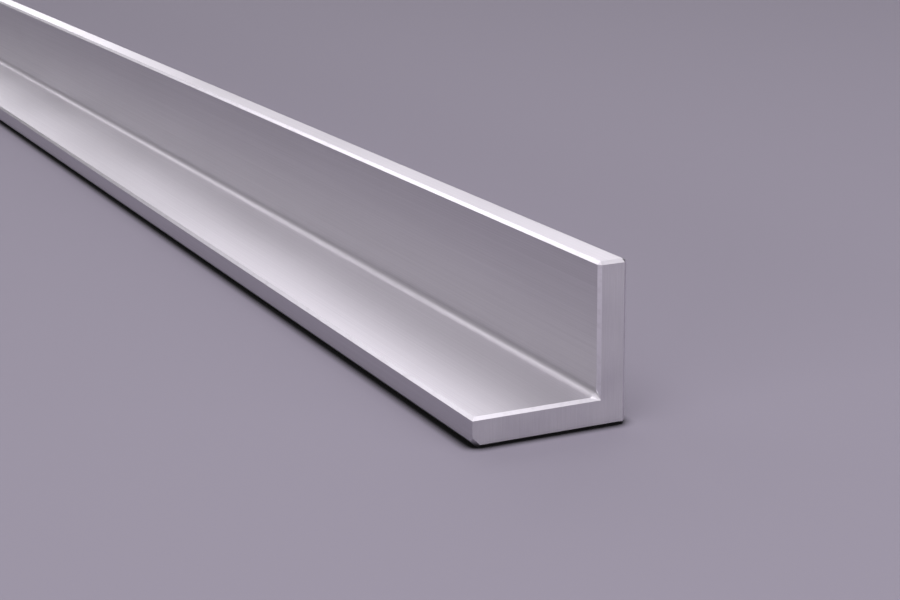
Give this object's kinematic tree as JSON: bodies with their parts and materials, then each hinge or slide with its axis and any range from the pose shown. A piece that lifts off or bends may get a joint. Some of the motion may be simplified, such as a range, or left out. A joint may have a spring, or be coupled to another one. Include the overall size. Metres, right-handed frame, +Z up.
{
  "type": "stainless steel angle",
  "caption": "Length of equal-leg L-section stainless steel bar with satin faces, a tight inside corner, broken edges and deburred square-cut ends.",
  "frame": {"origin": "middle of the bar's length and width, on the floor under the leg that lies down", "axes": "+Y along the bar, +Z up the standing leg, the standing leg at +X and the lying leg's toe at -X"},
  "size_m": [0.0254, 0.6096, 0.0254],
  "materials": {
    "brushed_stainless": "satin, fine straight grain along the bar, finer ground grain on the sawn ends"
  },
  "bodies": {
    "root": {"steel_angle": "brushed_stainless"}
  },
  "joints": []
}
